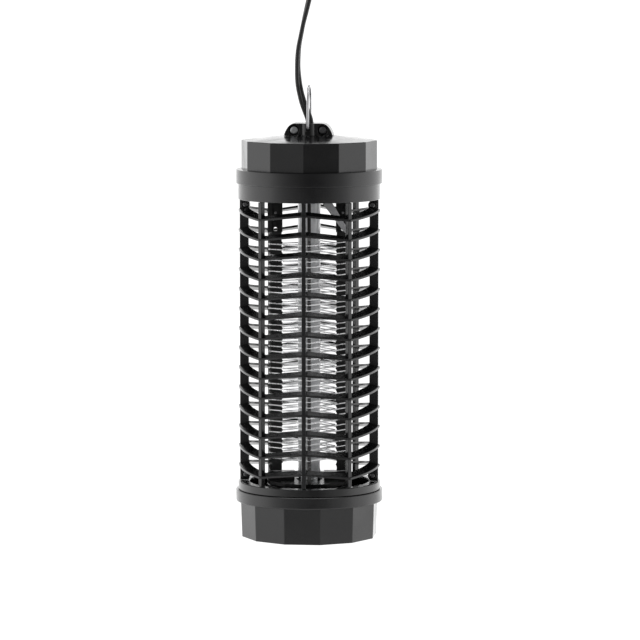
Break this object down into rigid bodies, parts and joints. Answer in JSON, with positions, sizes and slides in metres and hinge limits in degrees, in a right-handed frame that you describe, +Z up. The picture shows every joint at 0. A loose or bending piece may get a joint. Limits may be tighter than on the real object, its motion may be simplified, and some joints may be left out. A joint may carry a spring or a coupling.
{
  "type": "electric bug zapper",
  "caption": "Hanging UV insect killer: a lamp tube inside a wound high-voltage wire grid and a louvred black cage, with a twist-off collecting tray, a wire hanger and a mains cord.",
  "frame": {"origin": "where a hook meets the hanger: the underside of the top of the wire loop, on the lamp's axis", "axes": "+Z up along the lamp tube, -Y towards the side with the clamp screws and the cage's middle front rib, +X to the right seen from the front; the cage halves meet in the XZ plane"},
  "size_m": [0.1048, 0.1048, 0.4713],
  "materials": {
    "black_plastic": "satin black moulded ABS",
    "grid_plastic": "matte black insulating plastic",
    "cord_rubber": "smooth black PVC",
    "steel": "bright zinc-plated wire",
    "dark_steel": "blackened steel",
    "lamp_glass": "opal coated glass",
    "lamp_metal": "bright aluminium",
    "holder_plastic": "white moulded plastic",
    "board": "green solder mask",
    "component": "dipped coating",
    "lead_sleeve": "grey silicone sleeve",
    "brass": "bright brass"
  },
  "bodies": {
    "hanger_loop": {"hanger": "steel"},
    "lamp_body": {"top_cap": "black_plastic", "head_chassis": "black_plastic", "clamp_front": "black_plastic", "clamp_back": "black_plastic", "clamp_screw_left": "steel", "clamp_screw_right": "dark_steel", "base_ring": "black_plastic", "board_spacer_1": "black_plastic", "board_spacer_2": "black_plastic", "board_spacer_3": "black_plastic", "board_spacer_4": "black_plastic", "circuit_board": "board", "lamp_ballast": "dark_steel", "supply_capacitor": "dark_steel", "terminal_block": "holder_plastic", "hv_capacitor_1": "component", "hv_capacitor_2": "component", "hv_capacitor_3": "component", "hv_capacitor_4": "component", "cage_front": "black_plastic", "cage_back": "black_plastic", "cage_screw_lower_left": "dark_steel", "cage_screw_lower_right": "dark_steel", "cage_screw_upper_left": "dark_steel", "cage_screw_upper_right": "dark_steel", "uv_lamp_tube": "lamp_glass", "lamp_cap_lower": "lamp_metal", "lamp_cap_upper": "lamp_metal", "lamp_socket_lower": "holder_plastic", "lamp_socket_upper": "holder_plastic", "lamp_pin_lower_left": "brass", "lamp_pin_lower_right": "brass", "lamp_pin_upper_left": "brass", "lamp_pin_upper_right": "brass", "grid_holder_top": "grid_plastic", "grid_holder_bottom": "grid_plastic", "outer_grid_wire": "steel", "inner_grid_wire": "steel", "grid_post_front": "grid_plastic", "grid_post_right": "grid_plastic", "grid_post_back": "grid_plastic", "grid_post_left": "grid_plastic", "hv_lead_outer": "lead_sleeve", "hv_lead_inner": "lead_sleeve", "power_cord": "cord_rubber", "power_cord_coil": "cord_rubber", "coil_tie": "black_plastic", "plug_body": "cord_rubber", "plug_blade_left": "brass", "plug_blade_right": "brass"},
    "tray": {"collecting_tray": "black_plastic"}
  },
  "joints": [
    {"name": "hanger_swing", "type": "hinge", "parent": "hanger_loop", "child": "lamp_body", "pos_m": [0, 0, -0.0295], "axis": [0, 1, 0], "range_deg": [-75, 4]},
    {"name": "tray_twist", "type": "hinge", "parent": "lamp_body", "child": "tray", "pos_m": [0, 0, -0.29], "axis": [0, 0, 1], "range_deg": [0, 30]}
  ]
}
